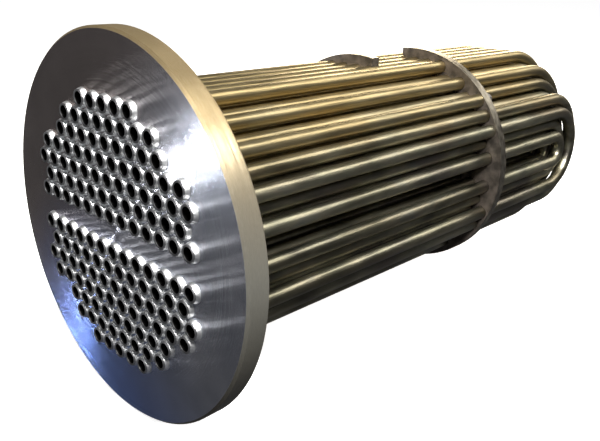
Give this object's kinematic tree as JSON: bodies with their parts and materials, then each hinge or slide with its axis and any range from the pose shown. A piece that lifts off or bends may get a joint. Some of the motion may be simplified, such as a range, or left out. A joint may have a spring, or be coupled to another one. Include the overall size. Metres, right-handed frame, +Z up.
{
  "type": "removable u-tube heat exchanger bundle",
  "caption": "Round tubesheet carrying nested U-tubes in two halves, held apart by cut baffles on tie rods; it slides into a shell and is clamped at its rim.",
  "frame": {"origin": "centre of the tubesheet's front gasket face", "axes": "+X along the bundle towards the bends, +Z up, the pass lane level along Y"},
  "size_m": [0.9148, 0.449, 0.4489],
  "materials": {
    "tubesheet_steel": "face turned in fine rings, bright and slightly blue, with rolled tube ends",
    "tube_alloy": "drawn tube, dull bronze-grey with handling marks, brighter at the bends",
    "baffle_steel": "brown-grey mill plate with a bright turned rim",
    "rod_steel": "dark bar and hexagon nuts"
  },
  "bodies": {
    "root": {"tubesheet": "tubesheet_steel", "first_baffle": "baffle_steel", "second_baffle": "baffle_steel", "u_tubes_column_01": "tube_alloy", "u_tubes_column_02": "tube_alloy", "u_tubes_column_03": "tube_alloy", "u_tubes_column_04": "tube_alloy", "u_tubes_column_05": "tube_alloy", "u_tubes_column_06": "tube_alloy", "u_tubes_column_07": "tube_alloy", "u_tubes_column_08": "tube_alloy", "u_tubes_column_09": "tube_alloy", "u_tubes_column_10": "tube_alloy", "u_tubes_column_11": "tube_alloy", "u_tubes_column_12": "tube_alloy", "u_tubes_column_13": "tube_alloy", "u_tubes_column_14": "tube_alloy", "u_tubes_column_15": "tube_alloy", "u_tubes_column_16": "tube_alloy", "u_tubes_column_17": "tube_alloy", "u_tubes_column_18": "tube_alloy", "u_tubes_column_19": "tube_alloy", "u_tubes_column_20": "tube_alloy", "u_tubes_column_21": "tube_alloy", "u_tubes_column_22": "tube_alloy", "u_tubes_column_23": "tube_alloy", "u_tubes_column_24": "tube_alloy", "u_tubes_column_25": "tube_alloy", "tie_rod_upper_near": "rod_steel", "spacer_tube_upper_near": "tube_alloy", "tie_rod_nut_upper_near": "rod_steel", "tie_rod_lane_near": "rod_steel", "spacer_tube_lane_near": "tube_alloy", "tie_rod_nut_lane_near": "rod_steel", "tie_rod_upper_far": "rod_steel", "spacer_tube_upper_far": "tube_alloy", "tie_rod_nut_upper_far": "rod_steel", "tie_rod_lane_far": "rod_steel", "spacer_tube_lane_far": "tube_alloy", "tie_rod_nut_lane_far": "rod_steel"}
  },
  "joints": []
}
